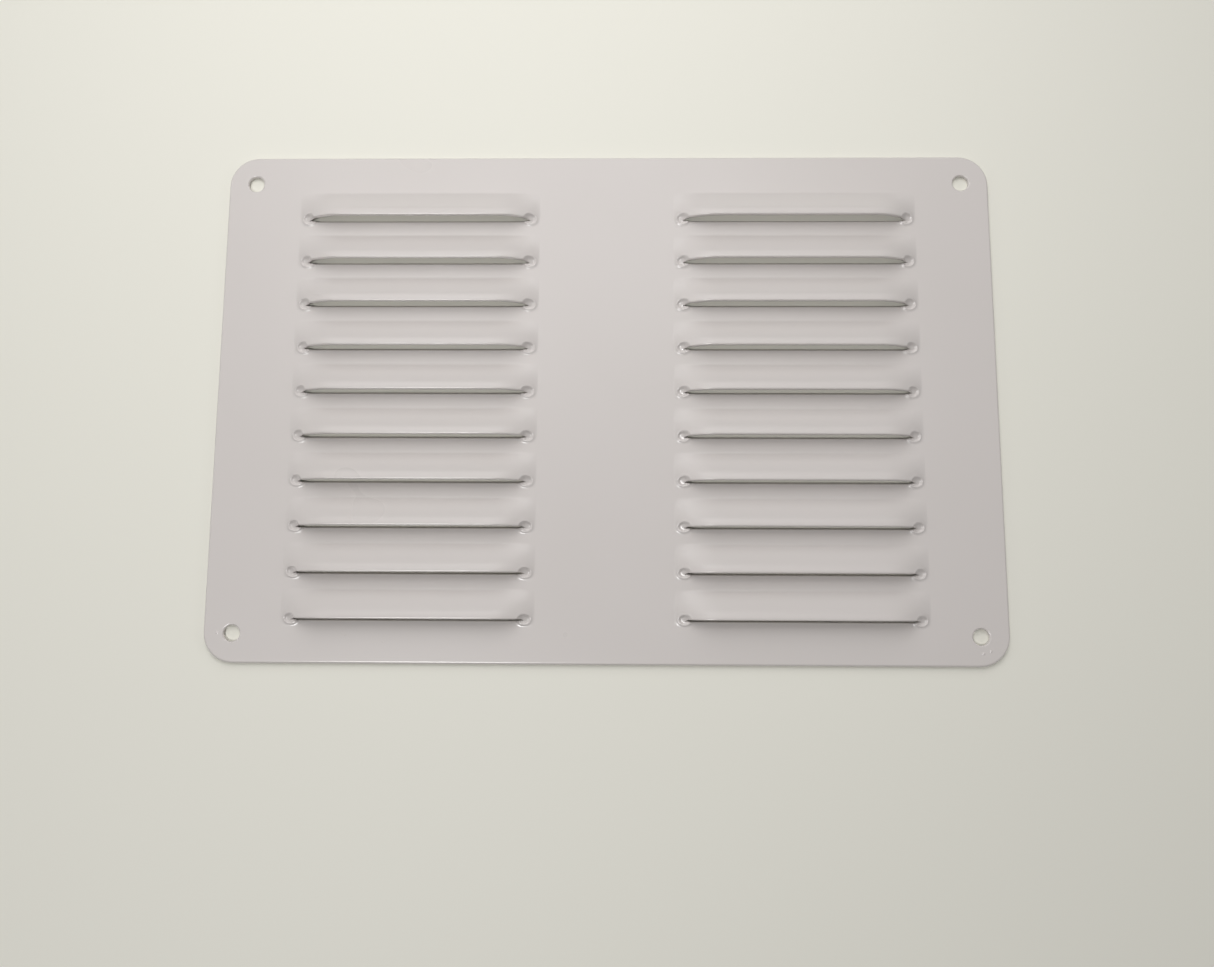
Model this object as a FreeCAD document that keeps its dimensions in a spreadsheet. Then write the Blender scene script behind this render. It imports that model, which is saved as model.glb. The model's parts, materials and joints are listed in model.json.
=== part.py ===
import FreeCAD, Part
import math
import os

import Sketcher

# Louvred vent cover: one sheet of aluminium, lanced and pressed into two columns of louvres.
# Frame: origin at the centre of the flat underside, +Z out of the louvred face,
# +X along the louvres, +Y from each louvre's open lip towards its closed back.

SIZES = (
    ("plate_width", 260.0, "outside, along the louvres"),
    ("plate_height", 172.0, "outside, across the louvres"),
    ("sheet", 1.5, "thickness of the painted sheet"),
    ("corner_radius", 10.0, "of the four corners of the blank"),
    ("edge_round", 0.6, "paint-softened edge round the blank"),
    ("screw_hole", 5.3, "diameter, clearance for a 5 mm screw"),
    ("screw_pitch_x", 241.5, "between screw hole centres"),
    ("screw_pitch_y", 153.0, "between screw hole centres"),
    ("louvre_rows", 10, "louvres in a column"),
    ("louvre_columns", 2, "columns, either side of the plain middle"),
    ("row_pitch", 15.0, "from one slit to the next"),
    ("column_pitch", 127.5, "between the middles of the two columns"),
    ("lowest_slit", -72.0, "height of the lowest slit on the plate"),
    ("hood_straight", 60.0, "length of a hood between its rounded ends"),
    ("hood_reach", 10.0, "from a hood's lip back to the end of its bend"),
    ("hood_rise", 5.1, "of a hood's top above the face"),
    ("hood_crown", 5.75, "outside radius of a hood where it levels out at its lip"),
    ("bend_radius", 1.5, "inside radius where a hood leaves the face"),
    ("lip_gap", 0.4, "width of the lanced slit, seen square on"),
)

LENGTH_TOLERANCE = 1e-6
VOLUME_TOLERANCE = 5.0

doc = FreeCAD.newDocument("vent_cover")
sheet = doc.addObject("Spreadsheet::Sheet", "sizes")
for row, (alias, value, meaning) in enumerate(SIZES, start=1):
    sheet.set(f"A{row}", alias)
    sheet.set(f"B{row}", str(value))
    sheet.set(f"C{row}", meaning)
    sheet.setAlias(f"B{row}", alias)
doc.recompute()


def size(alias):
    return float(sheet.get(alias))


def origin_feature(body, role):
    """One of the body's own origin planes or axes."""
    return next(item for item in body.Origin.OriginFeatures if item.Role == role)


def new_sketch(body, name, role):
    sketch = body.newObject("Sketcher::SketchObject", name)
    sketch.AttachmentSupport = [(origin_feature(body, role), "")]
    sketch.MapMode = "FlatFace"
    return sketch


def constrain(sketch, *definition, name=None, expression=None):
    """Add one constraint, and tie its value to the spreadsheet when an expression is given."""
    index = sketch.addConstraint(Sketcher.Constraint(*definition))
    if name:
        sketch.renameConstraint(index, name)
        sketch.setExpression(f"Constraints.{name}", expression)


def corner_point(x_side, y_side, x_reach, y_reach):
    return FreeCAD.Vector(x_side * x_reach, y_side * y_reach, 0)


# Point numbers of the Sketcher: start, end and centre of an edge, and the sketch's own axes.
START, END, CENTRE = 1, 2, 3
ORIGIN_EDGE, H_AXIS, V_AXIS = -1, -1, -2
QUARTER = math.pi / 2
UP = FreeCAD.Vector(0, 0, 1)


def draw_blank(sketch):
    """Rounded rectangle, centred, drawn anticlockwise from the right-hand end of the top edge."""
    half_width = size("plate_width") / 2
    half_height = size("plate_height") / 2
    radius = size("corner_radius")
    inner_x = half_width - radius
    inner_y = half_height - radius
    sides = ((1, 1), (-1, 1), (-1, -1), (1, -1))
    arcs = []
    for turn, (x_side, y_side) in enumerate(sides):
        centre = corner_point(x_side, y_side, inner_x, inner_y)
        circle = Part.Circle(centre, UP, radius)
        arcs.append(sketch.addGeometry(Part.ArcOfCircle(circle, turn * QUARTER, (turn + 1) * QUARTER)))
    edges = []
    for turn in range(4):
        start = sketch.getPoint(arcs[turn], END)
        end = sketch.getPoint(arcs[(turn + 1) % 4], START)
        edges.append(sketch.addGeometry(Part.LineSegment(start, end)))
    for turn in range(4):
        constrain(sketch, "Tangent", arcs[turn], END, edges[turn], START)
        constrain(sketch, "Tangent", edges[turn], END, arcs[(turn + 1) % 4], START)
        constrain(sketch, "Horizontal" if turn % 2 == 0 else "Vertical", edges[turn])
    for arc in arcs[1:]:
        constrain(sketch, "Equal", arcs[0], arc)
    constrain(sketch, "Radius", arcs[0], radius, name="corner", expression="sizes.corner_radius")
    constrain(sketch, "Symmetric", arcs[0], CENTRE, arcs[2], CENTRE, ORIGIN_EDGE, START)
    constrain(sketch, "DistanceX", edges[1], START, edges[3], START, 2 * half_width,
              name="width", expression="sizes.plate_width")
    constrain(sketch, "DistanceY", edges[2], START, edges[0], START, 2 * half_height,
              name="height", expression="sizes.plate_height")


def draw_screw_holes(sketch):
    """Four equal circles, one near each corner."""
    reach_x = size("screw_pitch_x") / 2
    reach_y = size("screw_pitch_y") / 2
    radius = size("screw_hole") / 2
    circles = []
    for y_side in (1, -1):
        for x_side in (-1, 1):
            centre = corner_point(x_side, y_side, reach_x, reach_y)
            circles.append(sketch.addGeometry(Part.Circle(centre, UP, radius)))
    top_left, top_right, low_left, low_right = circles
    for circle in circles[1:]:
        constrain(sketch, "Equal", top_left, circle)
    constrain(sketch, "Diameter", top_left, 2 * radius, name="bore", expression="sizes.screw_hole")
    constrain(sketch, "Symmetric", top_left, CENTRE, low_right, CENTRE, ORIGIN_EDGE, START)
    constrain(sketch, "Symmetric", top_right, CENTRE, low_left, CENTRE, ORIGIN_EDGE, START)
    constrain(sketch, "Horizontal", top_left, CENTRE, top_right, CENTRE)
    constrain(sketch, "Vertical", top_left, CENTRE, low_left, CENTRE)
    constrain(sketch, "DistanceX", top_left, CENTRE, top_right, CENTRE, 2 * reach_x,
              name="pitch_x", expression="sizes.screw_pitch_x")
    constrain(sketch, "DistanceY", low_left, CENTRE, top_left, CENTRE, 2 * reach_y,
              name="pitch_y", expression="sizes.screw_pitch_y")


def draw_window(sketch):
    """What one louvre takes out of the flat sheet: the slit in front, and quarter-round ends."""
    half = size("hood_straight") / 2
    reach = size("hood_reach")
    gap = size("lip_gap")
    right_centre = FreeCAD.Vector(half, gap, 0)
    left_centre = FreeCAD.Vector(-half, gap, 0)
    right = sketch.addGeometry(Part.ArcOfCircle(Part.Circle(right_centre, UP, reach), 0, QUARTER))
    left = sketch.addGeometry(Part.ArcOfCircle(Part.Circle(left_centre, UP, reach), QUARTER, math.pi))
    corners = [
        sketch.getPoint(right, END),
        sketch.getPoint(left, START),
        sketch.getPoint(left, END),
        FreeCAD.Vector(-half - reach, 0, 0),
        FreeCAD.Vector(half + reach, 0, 0),
        sketch.getPoint(right, START),
    ]
    back = sketch.addGeometry(Part.LineSegment(corners[0], corners[1]))
    left_end = sketch.addGeometry(Part.LineSegment(corners[2], corners[3]))
    slit = sketch.addGeometry(Part.LineSegment(corners[3], corners[4]))
    right_end = sketch.addGeometry(Part.LineSegment(corners[4], corners[5]))
    constrain(sketch, "Tangent", right, END, back, START)
    constrain(sketch, "Tangent", back, END, left, START)
    constrain(sketch, "Tangent", left, END, left_end, START)
    constrain(sketch, "Tangent", right_end, END, right, START)
    constrain(sketch, "Coincident", left_end, END, slit, START)
    constrain(sketch, "Coincident", slit, END, right_end, START)
    constrain(sketch, "Horizontal", back)
    constrain(sketch, "Horizontal", slit)
    constrain(sketch, "Vertical", left_end)
    constrain(sketch, "Vertical", right_end)
    constrain(sketch, "Equal", right, left)
    constrain(sketch, "Symmetric", slit, START, slit, END, ORIGIN_EDGE, START)
    constrain(sketch, "Radius", right, reach, name="reach", expression="sizes.hood_reach")
    constrain(sketch, "Distance", right_end, gap, name="gap", expression="sizes.lip_gap")
    constrain(sketch, "Distance", back, 2 * half, name="straight", expression="sizes.hood_straight")


def draw_hood_section(sketch):
    """Section across a hood: the sheet slopes up out of the face and ends level, at the lip.

    The sketch's vertical axis runs up the lip. Two pairs of concentric arcs, the bend at the
    back and the crown at the lip, and the slope between them keep the sheet one thickness.
    """
    thick = size("sheet")
    reach = size("hood_reach")
    rise = size("hood_rise")
    bend = size("bend_radius")
    crown = size("hood_crown")
    apart = math.hypot(reach, bend + crown - rise)
    lean = math.asin((bend + crown) / apart) - math.atan2(bend + crown - rise, reach)
    hood_centre = FreeCAD.Vector(0, thick + rise - crown, 0)
    bend_centre = FreeCAD.Vector(reach, thick + bend, 0)
    hood_angles = (QUARTER - lean, QUARTER)
    bend_angles = (3 * QUARTER - lean, 3 * QUARTER)

    def arc(centre, radius, angles):
        return sketch.addGeometry(Part.ArcOfCircle(Part.Circle(centre, UP, radius), *angles))

    top = arc(hood_centre, crown, hood_angles)
    top_bend = arc(bend_centre, bend, bend_angles)
    under = arc(hood_centre, crown - thick, hood_angles)
    under_bend = arc(bend_centre, bend + thick, bend_angles)
    slope = sketch.addGeometry(Part.LineSegment(sketch.getPoint(top_bend, START),
                                                sketch.getPoint(top, START)))
    under_slope = sketch.addGeometry(Part.LineSegment(sketch.getPoint(under_bend, START),
                                                      sketch.getPoint(under, START)))
    lip = sketch.addGeometry(Part.LineSegment(sketch.getPoint(under, END), sketch.getPoint(top, END)))
    root = sketch.addGeometry(Part.LineSegment(sketch.getPoint(under_bend, END),
                                               sketch.getPoint(top_bend, END)))
    constrain(sketch, "Coincident", lip, START, under, END)
    constrain(sketch, "Coincident", lip, END, top, END)
    constrain(sketch, "Coincident", root, START, under_bend, END)
    constrain(sketch, "Coincident", root, END, top_bend, END)
    constrain(sketch, "Coincident", top, CENTRE, under, CENTRE)
    constrain(sketch, "Coincident", top_bend, CENTRE, under_bend, CENTRE)
    constrain(sketch, "Tangent", slope, START, top_bend, START)
    constrain(sketch, "Tangent", slope, END, top, START)
    constrain(sketch, "Tangent", under_slope, START, under_bend, START)
    constrain(sketch, "Tangent", under_slope, END, under, START)
    constrain(sketch, "Equal", lip, root)
    constrain(sketch, "PointOnObject", lip, START, V_AXIS)
    constrain(sketch, "PointOnObject", lip, END, V_AXIS)
    constrain(sketch, "PointOnObject", top, CENTRE, V_AXIS)
    constrain(sketch, "PointOnObject", root, START, H_AXIS)
    constrain(sketch, "Vertical", root)
    constrain(sketch, "Vertical", root, START, top_bend, CENTRE)
    constrain(sketch, "Distance", root, thick, name="thick", expression="sizes.sheet")
    constrain(sketch, "Radius", top_bend, bend, name="bend", expression="sizes.bend_radius")
    constrain(sketch, "Radius", top, crown, name="crown", expression="sizes.hood_crown")
    constrain(sketch, "DistanceX", lip, END, root, END, reach, name="reach", expression="sizes.hood_reach")
    constrain(sketch, "DistanceY", root, END, lip, END, rise, name="rise", expression="sizes.hood_rise")


def outline_edges(shape):
    """Names of the edges round the blank's outline, top and bottom."""
    half_width = size("plate_width") / 2
    half_height = size("plate_height") / 2
    names = []
    for number, edge in enumerate(shape.Edges, start=1):
        box = edge.BoundBox
        on_side = max(abs(box.XMin), abs(box.XMax)) > half_width - size("corner_radius") - LENGTH_TOLERANCE
        on_end = max(abs(box.YMin), abs(box.YMax)) > half_height - size("corner_radius") - LENGTH_TOLERANCE
        level = box.ZLength < LENGTH_TOLERANCE
        is_bore = isinstance(edge.Curve, Part.Circle) and edge.Curve.Radius < size("corner_radius") / 2
        if level and (on_side or on_end) and not is_bore:
            names.append(f"Edge{number}")
    return names


plate = doc.addObject("PartDesign::Body", "louvre_plate")
plate.Label = "louvre_plate"

# The blank: a rounded rectangle of sheet with softened edges.
blank_sketch = new_sketch(plate, "blank_outline", "XY_Plane")
draw_blank(blank_sketch)
blank = plate.newObject("PartDesign::Pad", "blank")
blank.Profile = blank_sketch
blank.setExpression("Length", "sizes.sheet")
doc.recompute()

soft_edges = plate.newObject("PartDesign::Fillet", "soft_edges")
soft_edges.Base = (blank, outline_edges(blank.Shape))
soft_edges.setExpression("Radius", "sizes.edge_round")
doc.recompute()

# Screw holes, straight through the four corners.
hole_sketch = new_sketch(plate, "screw_hole_centres", "XY_Plane")
draw_screw_holes(hole_sketch)
screw_holes = plate.newObject("PartDesign::Pocket", "screw_holes")
screw_holes.Profile = hole_sketch
screw_holes.Type = "ThroughAll"
screw_holes.Midplane = True
doc.recompute()

# One louvre, the lowest of the left-hand column: its window first, then its hood.
LEFT_COLUMN = "-sizes.column_pitch / 2"
window_sketch = new_sketch(plate, "louvre_window", "XY_Plane")
window_sketch.setExpression("AttachmentOffset.Base.x", LEFT_COLUMN)
window_sketch.setExpression("AttachmentOffset.Base.y", "sizes.lowest_slit")
draw_window(window_sketch)
window = plate.newObject("PartDesign::Pocket", "window")
window.Profile = window_sketch
window.Type = "ThroughAll"
window.Midplane = True
doc.recompute()


def hood_section(name, x_place):
    """A hood section standing across the louvre at x_place, with its lip on the slit's back edge."""
    sketch = new_sketch(plate, name, "YZ_Plane")
    sketch.setExpression("AttachmentOffset.Base.x", "sizes.lowest_slit + sizes.lip_gap")
    sketch.setExpression("AttachmentOffset.Base.z", x_place)
    draw_hood_section(sketch)
    return sketch


def hood_end(name, section, reversed_turn):
    """A quarter-round end: the hood's section turned a quarter about its own lip."""
    end = plate.newObject("PartDesign::Revolution", name)
    end.Profile = section
    end.ReferenceAxis = (section, ["V_Axis"])
    end.Angle = 90
    end.Reversed = reversed_turn
    doc.recompute()
    return end


left_section = hood_section("hood_section_left", LEFT_COLUMN + " - sizes.hood_straight / 2")
right_section = hood_section("hood_section_right", LEFT_COLUMN + " + sizes.hood_straight / 2")
hood_middle = plate.newObject("PartDesign::Pad", "hood_middle")
hood_middle.Profile = left_section
hood_middle.setExpression("Length", "sizes.hood_straight")
doc.recompute()
left_end = hood_end("hood_left_end", left_section, False)
right_end = hood_end("hood_right_end", right_section, True)

# The same louvre, repeated up both columns.
louvres = plate.newObject("PartDesign::LinearPattern", "louvres")
louvres.Originals = [window, hood_middle, left_end, right_end]
louvres.Direction = (origin_feature(plate, "Y_Axis"), [""])
louvres.Mode = "Spacing"
louvres.setExpression("Offset", "sizes.row_pitch")
louvres.setExpression("Occurrences", "sizes.louvre_rows")
louvres.Direction2 = (origin_feature(plate, "X_Axis"), [""])
louvres.Mode2 = "Extent"
louvres.setExpression("Length2", "sizes.column_pitch * (sizes.louvre_columns - 1)")
louvres.setExpression("Occurrences2", "sizes.louvre_columns")
plate.Tip = louvres
doc.recompute()

for item in doc.Objects:
    assert not {"Invalid", "Error"} & set(item.State), (item.Name, item.State)
for sketch in (blank_sketch, hole_sketch, window_sketch, left_section, right_section):
    assert sketch.FullyConstrained, sketch.Name

# Each louvre adds the same volume, so the whole pattern is there when the sums agree.
one_louvre = right_end.Shape.Volume - screw_holes.Shape.Volume
all_louvres = louvres.Shape.Volume - screw_holes.Shape.Volume
louvre_count = size("louvre_rows") * size("louvre_columns")
assert abs(all_louvres - louvre_count * one_louvre) < VOLUME_TOLERANCE, (all_louvres, one_louvre)
assert window.Shape.Volume < screw_holes.Shape.Volume < soft_edges.Shape.Volume < blank.Shape.Volume

os.makedirs("parts", exist_ok=True)
for part in (plate,):
    shape = part.Shape
    assert not shape.isNull() and shape.isValid(), part.Label
    box = shape.optimalBoundingBox(False)
    print(part.Label, "solids", len(shape.Solids), "volume", round(shape.Volume), box)
    shape.exportStep(f"parts/{part.Label}.step")
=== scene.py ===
import json
import math

import bmesh
import bpy
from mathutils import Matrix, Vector
from mathutils.geometry import delaunay_2d_cdt


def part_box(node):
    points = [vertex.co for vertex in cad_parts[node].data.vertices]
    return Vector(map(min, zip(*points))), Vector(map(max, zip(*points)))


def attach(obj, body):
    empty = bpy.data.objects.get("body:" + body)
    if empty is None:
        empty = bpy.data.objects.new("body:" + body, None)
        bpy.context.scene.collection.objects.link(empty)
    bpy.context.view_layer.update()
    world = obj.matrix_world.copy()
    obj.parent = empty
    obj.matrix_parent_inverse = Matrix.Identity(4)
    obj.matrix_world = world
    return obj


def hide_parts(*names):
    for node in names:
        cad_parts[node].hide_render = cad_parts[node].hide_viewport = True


# Louvred vent cover: one sheet of aluminium with twenty pressed louvres, powder coated.
# The plate lies flat, louvres up. +X runs along the louvres, and their lips face -Y.

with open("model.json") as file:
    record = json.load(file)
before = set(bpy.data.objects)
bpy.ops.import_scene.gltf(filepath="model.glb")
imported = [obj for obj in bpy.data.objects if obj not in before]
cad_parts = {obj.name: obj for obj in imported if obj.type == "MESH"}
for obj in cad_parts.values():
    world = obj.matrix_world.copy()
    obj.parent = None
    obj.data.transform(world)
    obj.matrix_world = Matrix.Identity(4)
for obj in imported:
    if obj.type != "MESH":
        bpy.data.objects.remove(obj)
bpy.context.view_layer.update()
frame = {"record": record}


# ---------------------------------------------------------------- one louvre
# A louvre is lanced and pressed in one stroke: the slit is cut, and the sheet behind it is
# pushed up into a hood that is open at its lip and runs back into the face at both ends.
# All sizes are in millimetres until a mesh is made. The slit lies on y = 0, the face on z = SHEET.

MM = 0.001

SHEET = 1.5             # aluminium with its coat of paint
CELL_WIDTH = 88.0       # the oblong of sheet that one louvre takes up, along the slit
CELL_FRONT = 3.0        # sheet in front of the slit
CELL_BACK = 12.0        # sheet behind the slit
HOOD_REACH = 10.0       # from the lip back to where the hood meets the face
HOOD_RISE = 5.1         # top of the lip above the face
HOOD_STRAIGHT = 54.0    # length of the hood's even middle
HOOD_END = 14.2         # length over which the hood runs out at each end
HOOD_FALL = 1.3         # power that shapes its fall there: a higher one falls away sooner
HOOD_CROWN = 5.75       # outside radius where the hood levels out at its lip
BEND_RADIUS = 1.5       # where the hood's back turns into the face
LIP_GAP = 0.4           # width of the lanced slit, seen square on
SLIT_END = 38.0         # half the slit's length
NOSE_FRONT = -1.7       # the metal drawn up round each end of the slit starts here
NOSE_BACK = 2.3         # and has run into the hood here
NOSE_LENGTH = 3.0       # how far along the slit it fades in
OUTER_TURN = 0.5        # half the length over which the drawn metal turns, on the outer side
INNER_TURN = 1.2        # and on the inner side, where the bends are wider
BEAD_HEIGHT = 0.26      # fine ridge that the punch leaves round the end of the slit
BEAD_WIDTH = 0.36
BEAD_SINK = 0.45        # the metal inside the ridge lies a little lower
BEAD_DISH = 2.8         # width of the step down to it, in widths of the ridge
BEAD_CENTRE = (37.9, 0.5)
BEAD_SIZE = (2.1, 1.7)  # half its length and half its width
BEAD_FADE = (3.4, 2.2)  # it fades out between these distances from the slit's end
SLIT_CLOSING = 1.6      # length over which the slit narrows to nothing at each end

# The slope runs straight between the crown and the bend, and touches both.
CENTRES_UP = HOOD_CROWN + BEND_RADIUS - HOOD_RISE
HOOD_LEAN = math.asin((HOOD_CROWN + BEND_RADIUS) / math.hypot(HOOD_REACH, CENTRES_UP))
HOOD_LEAN -= math.atan2(CENTRES_UP, HOOD_REACH)
CROWN_END = HOOD_CROWN * math.sin(HOOD_LEAN)
BEND_START = HOOD_REACH - BEND_RADIUS * math.sin(HOOD_LEAN)

# Section through a cut edge: how far in from the edge, and how far down from the face.
# The paint draws back from a sharp edge and leaves it round.
CUT_EDGE = (
    (0.45, 0.0), (0.225, 0.06), (0.06, 0.225), (0.0, 0.45),
    (0.0, 1.2), (0.088, 1.412), (0.3, 1.5),
)


def smooth_step(low, high, value):
    share = min(max((value - low) / (high - low), 0.0), 1.0)
    return share * share * (3 - 2 * share)


def eased(value, width):
    """Nothing below -width, the value itself above width, and a smooth turn between them."""
    if value <= -width:
        return 0.0
    if value >= width:
        return value
    return (value + width) ** 2 / (4 * width)


def hood_height(back):
    """The hood's outer side above the face, at a distance back from its lip."""
    if back <= CROWN_END:
        return HOOD_RISE - HOOD_CROWN + math.sqrt(HOOD_CROWN ** 2 - back ** 2)
    if back <= BEND_START:
        level = HOOD_RISE - HOOD_CROWN * (1 - math.cos(HOOD_LEAN))
        return level - (back - CROWN_END) * math.tan(HOOD_LEAN)
    if back < HOOD_REACH:
        return BEND_RADIUS - math.sqrt(BEND_RADIUS ** 2 - (HOOD_REACH - back) ** 2)
    return 0.0


def pressed_height(x, y, behind, turn):
    """The pressed sheet above the face. behind tells which side of the slit the point is on."""
    sideways = min(max(abs(x) - HOOD_STRAIGHT / 2, 0.0) / HOOD_END, 1.0)
    hood = hood_height(max(y - LIP_GAP, 0.0)) * (1 - sideways ** 2) ** HOOD_FALL
    drawn = eased(y - NOSE_FRONT, turn) - eased(y - NOSE_BACK, turn)
    drawn /= NOSE_BACK - NOSE_FRONT
    at_end = smooth_step(SLIT_END - NOSE_LENGTH, SLIT_END, abs(x))
    if behind:
        return hood * (1 - (1 - drawn) * at_end)
    return hood * drawn * at_end


def bead_height(x, y):
    """The punch's mark round the end of the slit, added to the outer side only."""
    far = math.hypot((abs(x) - BEAD_CENTRE[0]) / BEAD_SIZE[0], (y - BEAD_CENTRE[1]) / BEAD_SIZE[1])
    away = (far - 1) * (BEAD_SIZE[0] + BEAD_SIZE[1]) / 2
    ridge = BEAD_HEIGHT * math.exp(-(away / BEAD_WIDTH) ** 2)
    sink = BEAD_SINK * (1 - smooth_step(-BEAD_DISH * BEAD_WIDTH, 0.1, away))
    return (ridge - sink) * smooth_step(SLIT_END - BEAD_FADE[0], SLIT_END - BEAD_FADE[1], abs(x))


def outer_side(x, y, behind):
    return Vector((x, y, SHEET + pressed_height(x, y, behind, OUTER_TURN) + bead_height(x, y)))


def inner_side(x, y, behind):
    """The sheet's other side, one thickness along the square from the outer side."""
    def height(along, back):
        return pressed_height(along, back, behind, INNER_TURN)

    step = 0.05
    rise_x = (height(x + step, y) - height(x - step, y)) / (2 * step)
    rise_y = (height(x, y + step) - height(x, y - step)) / (2 * step)
    slant = math.sqrt(1 + rise_x ** 2 + rise_y ** 2)
    return Vector((
        x + SHEET * rise_x / slant,
        y + SHEET * rise_y / slant,
        SHEET + height(x, y) - SHEET / slant,
    ))


def slit_open(x):
    """One along the slit, and nothing at its two ends."""
    return smooth_step(0.0, SLIT_CLOSING, SLIT_END - abs(x))


def edge_line(x, behind):
    """Where the cut edge stands, on the lip or on the sheet in front of it."""
    return LIP_GAP * slit_open(x) if behind else 0.0


def row_points(columns, steps, behind, from_edge, side):
    """Rows of points on one side of the sheet, from the slit's edge out to the cell's border."""
    rows = []
    border = CELL_BACK if behind else -CELL_FRONT
    for step in steps:
        row = []
        for x in columns:
            start = edge_line(x, behind) + (from_edge if behind else -from_edge) * slit_open(x)
            y = start + (border - start) * step / steps[-1]
            point = side(x, y, behind or abs(x) >= SLIT_END)
            if step == steps[-1]:
                point.x = x     # the border meets the next louvre point for point
            row.append(point)
        rows.append(row)
    return rows


def edge_points(columns, behind):
    """Rows of points round the cut edge, from the outer side to the inner side."""
    rows = []
    for number, (inward, down) in enumerate(CUT_EDGE):
        row = []
        for x in columns:
            opened = slit_open(x)
            y = edge_line(x, behind) + (inward if behind else -inward) * opened
            level = (1 - opened) * number / (len(CUT_EDGE) - 1) + opened * down / SHEET
            on_back = behind or abs(x) >= SLIT_END
            row.append(outer_side(x, y, on_back).lerp(inner_side(x, y, on_back), level))
        rows.append(row)
    return rows


def add_patch(mesh, rows):
    """Four-sided faces between rows of points."""
    corners = [[mesh.verts.new(point) for point in row] for row in rows]
    for lower, upper in zip(corners, corners[1:]):
        for place in range(len(lower) - 1):
            mesh.faces.new((lower[place], lower[place + 1], upper[place + 1], upper[place]))


def close_mesh(mesh, name):
    """Merges doubled points, scales to metres, and returns the data."""
    bmesh.ops.remove_doubles(mesh, verts=mesh.verts, dist=0.002)
    bmesh.ops.dissolve_degenerate(mesh, edges=mesh.edges, dist=0.0001)
    bmesh.ops.scale(mesh, verts=mesh.verts, vec=(MM, MM, MM))
    data = bpy.data.meshes.new(name)
    mesh.to_mesh(data)
    mesh.free()
    return data


# Lines of points along and across the slit, closer together where the sheet turns tighter.
half_columns = [9.0, 18.0, 27.0, 28.0, 29.0, 30.0, 31.0, 32.0, 33.0, 34.0]
half_columns += [35.0 + 0.25 * number for number in range(28)]
half_columns += [42.75, CELL_WIDTH / 2]
louvre_columns = [-x for x in reversed(half_columns)] + [0.0] + half_columns
slit_columns = [x for x in louvre_columns if abs(x) <= SLIT_END]
front_steps = (0.0, 0.25, 0.5, 0.75, 1.0, 1.25, 1.5, 1.75, 2.0, 2.3, 2.6, 3.0)
back_steps = tuple(0.25 * number for number in range(13))
back_steps += (3.6, 4.4, 5.2, 6.0, 6.8, 7.5, 8.2, 8.8, 9.15, 9.5, 9.8, 10.1, 10.5, 11.1, 12.0)
inner_front_steps = (0.0, 1.25, 3.0)
inner_back_steps = (0.0, 1.5, 3.0, 4.8, 6.2, 7.4, 8.4, 9.4, 10.4, 12.0)

louvre_mesh = bmesh.new()
top_in = CUT_EDGE[0][0]
bottom_in = CUT_EDGE[-1][0]
top_front = row_points(louvre_columns, front_steps, False, top_in, outer_side)
top_back = row_points(louvre_columns, back_steps, True, top_in, outer_side)
bottom_front = row_points(louvre_columns, inner_front_steps, False, bottom_in, inner_side)
bottom_back = row_points(louvre_columns, inner_back_steps, True, bottom_in, inner_side)
for rows in (top_front, top_back, bottom_front, bottom_back):
    add_patch(louvre_mesh, rows)
add_patch(louvre_mesh, edge_points(slit_columns, False))
add_patch(louvre_mesh, edge_points(slit_columns, True))

# Each louvre's cell is moved so that its middle is the origin, for placing on a grid.
cell_shift = (CELL_FRONT - CELL_BACK) / 2
bmesh.ops.translate(louvre_mesh, verts=louvre_mesh.verts, vec=(0, cell_shift, 0))
louvre = bpy.data.objects.new("louvre_pattern", close_mesh(louvre_mesh, "louvre_pattern"))
bpy.context.scene.collection.objects.link(louvre)


# ---------------------------------------------------------------- flat sheet round the louvres
# The blank is sheared, its corners are rounded and a screw hole is punched in each. The flat
# sheet here leaves out the two oblongs that the louvres fill, and meets them point for point.

LOUVRE_ROWS = 10
LOUVRE_COLUMNS = 2
ROW_PITCH = CELL_FRONT + CELL_BACK
COLUMN_PITCH = 127.5
CORNER_RADIUS = 10.0
HOLE_PARTS = 40
CORNER_PARTS = 14
HOLD = 0.4              # flat strip inside each rounded edge
SLACK = 0.01            # for telling whether a corner lies on a border
NIB_PARTS = 12

# The outer edge is round on both sides, and the holes have a softly rounded mouth.
EDGE_ROUND = SHEET / 2
PLATE_EDGE = tuple(
    (
        EDGE_ROUND - EDGE_ROUND * math.sin(math.radians(turn)),
        EDGE_ROUND - EDGE_ROUND * math.cos(math.radians(turn)),
    )
    for turn in range(0, 181, 18)
)
HOLE_EDGE = (
    (0.5, 0.0), (0.309, 0.038), (0.146, 0.146), (0.038, 0.309), (0.0, 0.5),
    (0.0, 1.2), (0.088, 1.412), (0.3, 1.5),
)

# Dust caught under the paint: place on the face, radius and height of each small lump.
PAINT_NIBS = (
    (-83.6, -77.0, 0.35, 0.10), (-71.4, -78.9, 0.35, 0.10), (-125.4, -76.3, 0.55, 0.16),
    (121.2, -81.7, 0.60, 0.20), (123.6, -81.0, 0.50, 0.16),
)
# A lump's section: share of its radius, and share of its height.
NIB_SECTION = ((1.0, 0.0), (0.78, 0.2), (0.5, 0.7), (0.2, 1.0))

lowest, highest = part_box("louvre_plate")
plate_x = (highest[0] - lowest[0]) / 2 / MM
plate_y = (highest[1] - lowest[1]) / 2 / MM
hole_rule = next(item for item in frame["record"]["mounts"] if item["name"] == "screw_holes")["dims"]
hole_radius = hole_rule["hole_r_mm"]
hole_places = [
    (side_x * hole_rule["spacing_x_mm"] / 2, side_y * hole_rule["spacing_y_mm"] / 2)
    for side_x in (-1, 1) for side_y in (-1, 1)
]
field_places = [(side - (LOUVRE_COLUMNS - 1) / 2) * COLUMN_PITCH for side in range(LOUVRE_COLUMNS)]
field_y = LOUVRE_ROWS * ROW_PITCH / 2


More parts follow.
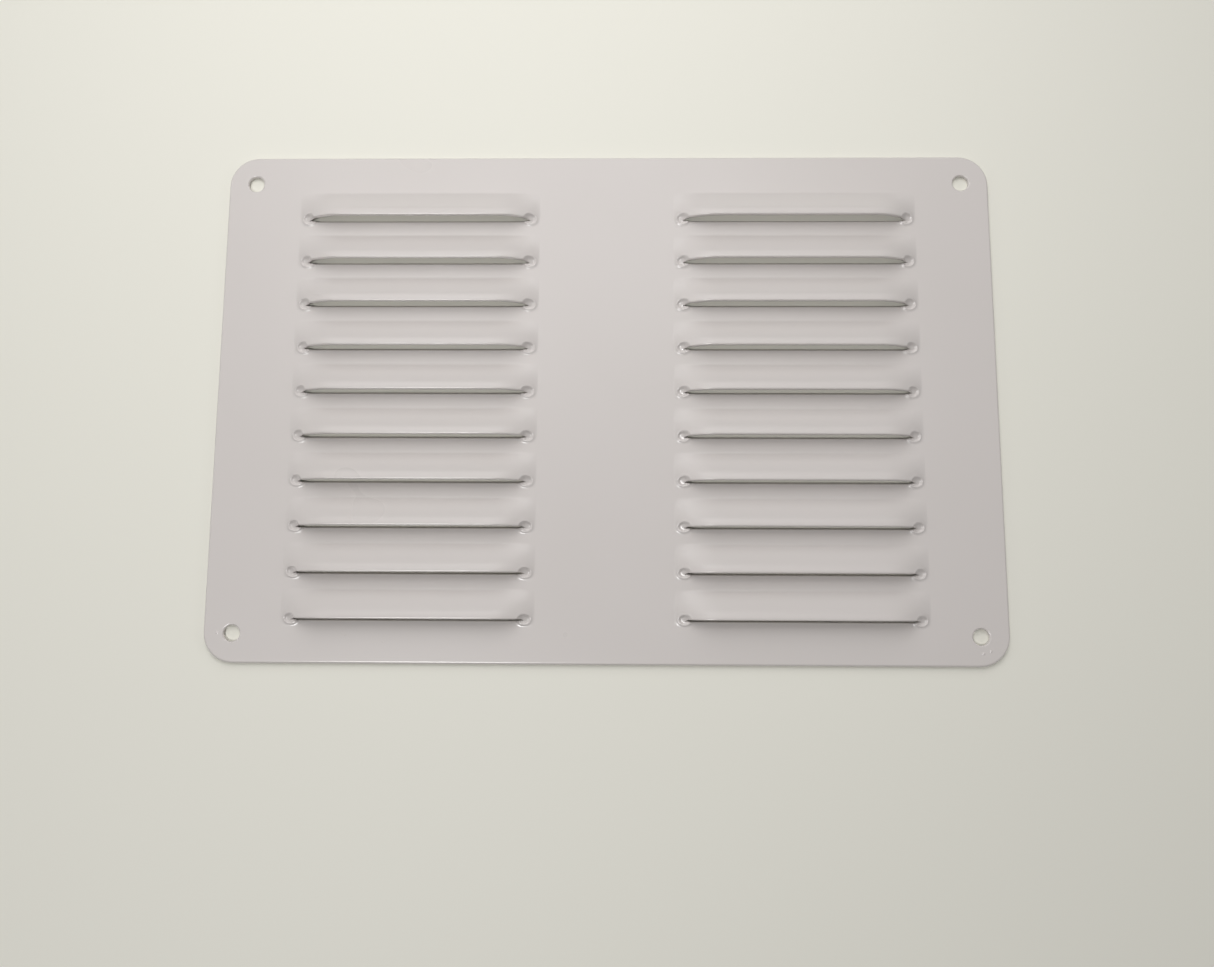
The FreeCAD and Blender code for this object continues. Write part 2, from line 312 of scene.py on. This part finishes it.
def outline(inward):
    """The blank's rounded outline, drawn a little way in from its edge."""
    radius = CORNER_RADIUS - inward
    points = []
    for quarter in range(4):
        side_x = (1, -1, -1, 1)[quarter]
        side_y = (1, 1, -1, -1)[quarter]
        for part in range(CORNER_PARTS + 1):
            turn = math.pi / 2 * (quarter + part / CORNER_PARTS)
            points.append((
                side_x * (plate_x - CORNER_RADIUS) + radius * math.cos(turn),
                side_y * (plate_y - CORNER_RADIUS) + radius * math.sin(turn),
            ))
    return points


def ring(centre, radius, parts):
    return [
        (
            centre[0] + radius * math.cos(2 * math.pi * part / parts),
            centre[1] + radius * math.sin(2 * math.pi * part / parts),
        )
        for part in range(parts)
    ]


def field_border(middle, row_steps_front, row_steps_back):
    """The oblong that a column of louvres fills, with a point wherever its mesh has one."""
    left = middle - CELL_WIDTH / 2
    right = middle + CELL_WIDTH / 2
    heights = set()
    for row in range(LOUVRE_ROWS):
        slit = -field_y + row * ROW_PITCH + CELL_FRONT
        heights.update(round(slit - step, 6) for step in row_steps_front)
        heights.update(round(slit + step, 6) for step in row_steps_back)
    heights = sorted(heights)
    points = [(middle + x, -field_y) for x in louvre_columns]
    points += [(right, height) for height in heights[1:]]
    points += [(middle + x, field_y) for x in reversed(louvre_columns[:-1])]
    points += [(left, height) for height in reversed(heights[1:-1])]
    return points


def add_flat(mesh, loops, height, is_cut):
    """Fills the flat between closed loops, leaving out what is_cut says."""
    places = []
    edges = []
    for loop in loops:
        first = len(places)
        places += [Vector(point) for point in loop]
        edges += [(first + at, first + (at + 1) % len(loop)) for at in range(len(loop))]
    spots, _, faces, _, _, _ = delaunay_2d_cdt(places, edges, [], 0, 1e-5, False)
    corners = [mesh.verts.new((spot.x, spot.y, height)) for spot in spots]
    for face in faces:
        if not is_cut([spots[at] for at in face]):
            mesh.faces.new([corners[at] for at in face])


def add_loops(mesh, loops):
    """Four-sided faces between closed loops of points, one inside the other."""
    add_patch(mesh, [loop + loop[:1] for loop in loops])


def at_height(points, height):
    return [(point[0], point[1], height) for point in points]


def in_field_or_ring(rings):
    """A test for faces whose corners all lie in a column of louvres, a hole or another ring."""
    def is_cut(spots):
        for place in field_places:
            if all(abs(spot.x - place) < CELL_WIDTH / 2 + SLACK and abs(spot.y) < field_y + SLACK
                   for spot in spots):
                return True
        return any(all(math.dist(spot, centre) < radius + SLACK for spot in spots)
                   for centre, radius in rings)
    return is_cut


blank_mesh = bmesh.new()

# Upper face, with the nibs raised out of it.
top_rings = [(place, hole_radius + HOLE_EDGE[0][0] + HOLD) for place in hole_places]
nib_rings = [((x, y), radius) for x, y, radius, _ in PAINT_NIBS]
top_loops = [outline(PLATE_EDGE[0][0] + HOLD)]
top_loops += [ring(place, radius, HOLE_PARTS) for place, radius in top_rings]
top_loops += [ring(place, radius, NIB_PARTS) for place, radius in nib_rings]
top_loops += [field_border(middle, front_steps, back_steps) for middle in field_places]
add_flat(blank_mesh, top_loops, SHEET, in_field_or_ring(top_rings + nib_rings))
for x, y, radius, height in PAINT_NIBS:
    add_loops(blank_mesh, [
        at_height(ring((x, y), radius * share, NIB_PARTS), SHEET + height * lift)
        for share, lift in NIB_SECTION
    ])
    blank_mesh.faces.new([
        blank_mesh.verts.new(point)
        for point in at_height(ring((x, y), radius * NIB_SECTION[-1][0], NIB_PARTS), SHEET + height)
    ])

# Under face.
bottom_rings = [(place, hole_radius + HOLE_EDGE[-1][0] + HOLD) for place in hole_places]
bottom_loops = [outline(PLATE_EDGE[-1][0] + HOLD)]
bottom_loops += [ring(place, radius, HOLE_PARTS) for place, radius in bottom_rings]
bottom_loops += [
    field_border(middle, inner_front_steps, inner_back_steps) for middle in field_places
]
add_flat(blank_mesh, bottom_loops, 0.0, in_field_or_ring(bottom_rings))

# Rounded outer edge and hole edges.
edge_loops = [at_height(outline(PLATE_EDGE[0][0] + HOLD), SHEET)]
edge_loops += [at_height(outline(inward), SHEET - down) for inward, down in PLATE_EDGE]
edge_loops += [at_height(outline(PLATE_EDGE[-1][0] + HOLD), 0.0)]
add_loops(blank_mesh, edge_loops)
for (place, top_radius), (_, bottom_radius) in zip(top_rings, bottom_rings):
    edge_loops = [at_height(ring(place, top_radius, HOLE_PARTS), SHEET)]
    edge_loops += [
        at_height(ring(place, hole_radius + inward, HOLE_PARTS), SHEET - down)
        for inward, down in HOLE_EDGE
    ]
    edge_loops += [at_height(ring(place, bottom_radius, HOLE_PARTS), 0.0)]
    add_loops(blank_mesh, edge_loops)

plate = bpy.data.objects.new("painted_plate", close_mesh(blank_mesh, "painted_plate"))
bpy.context.scene.collection.objects.link(plate)


# ---------------------------------------------------------------- powder coat
# Light grey semi-gloss polyester powder coat, sprayed as dry powder and baked. It flows out
# almost level and leaves a faint orange peel, a soft gloss and here and there a speck.

COAT_COLOUR = "#D3CDCA"
COAT_SHADE = "#D0CAC6"


def linear_colour(code):
    """An sRGB hex colour as linear red, green, blue and alpha."""
    channels = [int(code[at:at + 2], 16) / 255 for at in (1, 3, 5)]
    linear = [c / 12.92 if c <= 0.04045 else ((c + 0.055) / 1.055) ** 2.4 for c in channels]
    return (*linear, 1.0)


def add_node(tree, kind, settings=None, links=None):
    """Adds a node. A setting goes to the input of that name or place, or to the node itself."""
    node = tree.nodes.new(kind)
    for name, value in (settings or {}).items():
        if isinstance(name, int) or name in node.inputs:
            node.inputs[name].default_value = value
        else:
            setattr(node, name, value)
    for name, socket in (links or {}).items():
        tree.links.new(socket, node.inputs[name])
    return node


def new_material(name):
    material = bpy.data.materials.new(name)
    material.use_nodes = True
    material.node_tree.nodes.clear()
    return material


powder_coat = new_material("powder_coat_light_grey")
tree = powder_coat.node_tree
where = add_node(tree, "ShaderNodeTexCoord")
# Uneven film thickness, over 60 mm or so, shifts the tone by about one part in a hundred.
film = add_node(
    tree, "ShaderNodeTexNoise",
    {"Scale": 1 / 0.060, "Detail": 2.0, "Roughness": 0.5},
    {"Vector": where.outputs["Object"]},
)
tone = add_node(
    tree, "ShaderNodeMix",
    {"data_type": "RGBA", 6: linear_colour(COAT_SHADE), 7: linear_colour(COAT_COLOUR)},
    {0: film.outputs["Fac"]},
)
# Orange peel: soft cells about 1.8 mm apart and a few microns high.
peel = add_node(
    tree, "ShaderNodeTexNoise",
    {"Scale": 1 / 0.0018, "Detail": 1.0, "Roughness": 0.4},
    {"Vector": where.outputs["Object"]},
)
# Finer texture of the baked powder, about 0.3 mm apart.
grain = add_node(
    tree, "ShaderNodeTexNoise",
    {"Scale": 1 / 0.0003, "Detail": 1.0, "Roughness": 0.5},
    {"Vector": where.outputs["Object"]},
)
gloss = add_node(
    tree, "ShaderNodeMapRange",
    {"From Min": 0.3, "From Max": 0.7, "To Min": 0.27, "To Max": 0.33},
    {"Value": film.outputs["Fac"]},
)
peel_bump = add_node(
    tree, "ShaderNodeBump",
    {"Strength": 1.0, "Distance": 0.000006},
    {"Height": peel.outputs["Fac"]},
)
grain_bump = add_node(
    tree, "ShaderNodeBump",
    {"Strength": 1.0, "Distance": 0.0000015},
    {"Height": grain.outputs["Fac"], "Normal": peel_bump.outputs["Normal"]},
)
shader = add_node(
    tree, "ShaderNodeBsdfPrincipled",
    {"IOR": 1.5, "Metallic": 0.0, "Coat Weight": 1.0, "Coat Roughness": 0.22, "Coat IOR": 1.5},
    {
        "Base Color": tone.outputs[2],
        "Roughness": gloss.outputs["Result"],
        "Normal": grain_bump.outputs["Normal"],
        "Coat Normal": peel_bump.outputs["Normal"],
    },
)
add_node(tree, "ShaderNodeOutputMaterial", {}, {"Surface": shader.outputs["BSDF"]})


# ---------------------------------------------------------------- the pressed and painted plate
# The press works along the sheet louvre by louvre, so the same louvre stands at each point of a
# grid. It is then one closed skin with the flat sheet, and the powder coat goes over all of it.

WELD_DISTANCE = 0.01    # nearer points than this become one
LEVEL = 0.001           # a face whose corners differ less in height is level

pressing = bpy.data.node_groups.new("pressed_louvres", "GeometryNodeTree")
inputs = {}
for label, kind in (
    ("Flat sheet", "NodeSocketGeometry"),
    ("Louvre", "NodeSocketObject"),
    ("Columns", "NodeSocketInt"),
    ("Rows", "NodeSocketInt"),
    ("Column span", "NodeSocketFloat"),
    ("Row span", "NodeSocketFloat"),
    ("Weld distance", "NodeSocketFloat"),
    ("Coat", "NodeSocketMaterial"),
):
    inputs[label] = pressing.interface.new_socket(label, in_out="INPUT", socket_type=kind).identifier
pressing.interface.new_socket("Plate", in_out="OUTPUT", socket_type="NodeSocketGeometry")

given = add_node(pressing, "NodeGroupInput")
stations = add_node(
    pressing, "GeometryNodeMeshGrid", {},
    {
        "Size X": given.outputs["Column span"],
        "Size Y": given.outputs["Row span"],
        "Vertices X": given.outputs["Columns"],
        "Vertices Y": given.outputs["Rows"],
    },
)
stroke = add_node(
    pressing, "GeometryNodeObjectInfo",
    {"transform_space": "ORIGINAL", "As Instance": True},
    {"Object": given.outputs["Louvre"]},
)
louvres = add_node(
    pressing, "GeometryNodeInstanceOnPoints", {},
    {"Points": stations.outputs["Mesh"], "Instance": stroke.outputs["Geometry"]},
)
whole = add_node(pressing, "GeometryNodeJoinGeometry", {}, {0: louvres.outputs["Instances"]})
pressing.links.new(given.outputs["Flat sheet"], whole.inputs[0])
solid = add_node(pressing, "GeometryNodeRealizeInstances", {}, {"Geometry": whole.outputs[0]})
welded = add_node(
    pressing, "GeometryNodeMergeByDistance", {},
    {"Geometry": solid.outputs["Geometry"], "Distance": given.outputs["Weld distance"]},
)
coated = add_node(
    pressing, "GeometryNodeSetMaterial", {},
    {"Geometry": welded.outputs["Geometry"], "Material": given.outputs["Coat"]},
)
add_node(pressing, "NodeGroupOutput", {}, {0: coated.outputs["Geometry"]})

press = plate.modifiers.new("press", "NODES")
press.node_group = pressing
press[inputs["Louvre"]] = louvre
press[inputs["Columns"]] = LOUVRE_COLUMNS
press[inputs["Rows"]] = LOUVRE_ROWS
press[inputs["Column span"]] = COLUMN_PITCH * (LOUVRE_COLUMNS - 1) * MM
press[inputs["Row span"]] = ROW_PITCH * (LOUVRE_ROWS - 1) * MM
press[inputs["Weld distance"]] = WELD_DISTANCE * MM
press[inputs["Coat"]] = powder_coat

bpy.context.view_layer.update()
pressed = plate.evaluated_get(bpy.context.evaluated_depsgraph_get())
pressed_data = bpy.data.meshes.new_from_object(pressed)
plate.modifiers.remove(press)
plate.data = pressed_data
bpy.data.objects.remove(louvre)

skin = bmesh.new()
skin.from_mesh(pressed_data)
bmesh.ops.recalc_face_normals(skin, faces=skin.faces)
# Level faces are shaded flat, so that the long ones between the louvres stay plain.
for face in skin.faces:
    levels = [corner.co.z for corner in face.verts]
    face.smooth = max(levels) - min(levels) > LEVEL * MM
skin.to_mesh(pressed_data)
skin.free()

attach(plate, "root")
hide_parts("louvre_plate")


# ---------------------------------------------------------------- table top
# A plain off-white table top, matt, a hair below the plate.

TABLE_COLOUR = "#E2E0D6"
TABLE_HALF = 3.0        # metres from the plate's middle to the table's edges
TABLE_LEVEL = -0.0001   # metres

table_data = bpy.data.meshes.new("table_top")
table_corners = [
    (side_x * TABLE_HALF, side_y * TABLE_HALF, TABLE_LEVEL)
    for side_x, side_y in ((-1, -1), (1, -1), (1, 1), (-1, 1))
]
table_data.from_pydata(table_corners, [], [(0, 1, 2, 3)])
table = bpy.data.objects.new("table_top", table_data)
bpy.context.scene.collection.objects.link(table)
table_paint = new_material("table_matt_off_white")
tree = table_paint.node_tree
where = add_node(tree, "ShaderNodeTexCoord")
fleck = add_node(
    tree, "ShaderNodeTexNoise",
    {"Scale": 1 / 0.004, "Detail": 2.0},
    {"Vector": where.outputs["Object"]},
)
flecked = add_node(
    tree, "ShaderNodeBump",
    {"Strength": 1.0, "Distance": 0.00001},
    {"Height": fleck.outputs["Fac"]},
)
shader = add_node(
    tree, "ShaderNodeBsdfPrincipled",
    {"Base Color": linear_colour(TABLE_COLOUR), "Roughness": 0.6, "IOR": 1.45},
    {"Normal": flecked.outputs["Normal"]},
)
add_node(tree, "ShaderNodeOutputMaterial", {}, {"Surface": shader.outputs["BSDF"]})
table_data.materials.append(table_paint)


# ---------------------------------------------------------------- light
# Soft studio light: a main softbox high at the front left, a fill close above the plate's far
# edge, a long low strip behind, a low square one at each side, and a dim room round them. Only
# the main softbox shows in the gloss. Sizes are in metres and powers in watts.

room = bpy.data.worlds.new("dim_room")
bpy.context.scene.world = room
room.use_nodes = True
room.node_tree.nodes.clear()
air = add_node(
    room.node_tree, "ShaderNodeBackground",
    {"Color": linear_colour("#FFFFFF"), "Strength": 0.04},
)
add_node(room.node_tree, "ShaderNodeOutputWorld", {}, {"Surface": air.outputs["Background"]})

for label, place, size, power in (
    ("softbox_main", (-0.305, -0.528, 1.148), (0.24, 0.24), 6.2),
    ("softbox_far", (-0.06, 0.28, 0.42), (0.40, 0.40), 1.75),
    ("strip_back", (0.10, 1.18, 0.55), (1.60, 0.35), 2.8),
    ("strip_right", (1.18, 0.0, 0.55), (0.40, 0.40), 2.0),
    ("strip_left", (-1.18, 0.0, 0.55), (0.40, 0.40), 1.5),
):
    lamp = bpy.data.lights.new(label, "AREA")
    lamp.shape = "RECTANGLE"
    lamp.size = size[0]
    lamp.size_y = size[1]
    lamp.energy = power
    softbox = bpy.data.objects.new(label, lamp)
    softbox.location = place
    softbox.rotation_euler = (-Vector(place)).to_track_quat("-Z", "Y").to_euler()
    softbox.visible_glossy = label == "softbox_main"
    bpy.context.scene.collection.objects.link(softbox)

bpy.context.scene.view_settings.view_transform = "Standard"


# ---------------------------------------------------------------- camera
# Held over the plate's lower half and tipped a few degrees towards its top.

view = bpy.data.cameras.new("camera")
view.sensor_fit = "HORIZONTAL"
view.sensor_width = 36.0
view.lens = 28.17
view.clip_start = 0.01
view.clip_end = 20.0
view.dof.use_dof = False
camera = bpy.data.objects.new("camera", view)
camera.location = (0.00543, -0.06839, 0.31086)
camera.rotation_euler = (math.radians(7.576), math.radians(0.843), math.radians(0.288))
bpy.context.scene.collection.objects.link(camera)
bpy.context.scene.camera = camera
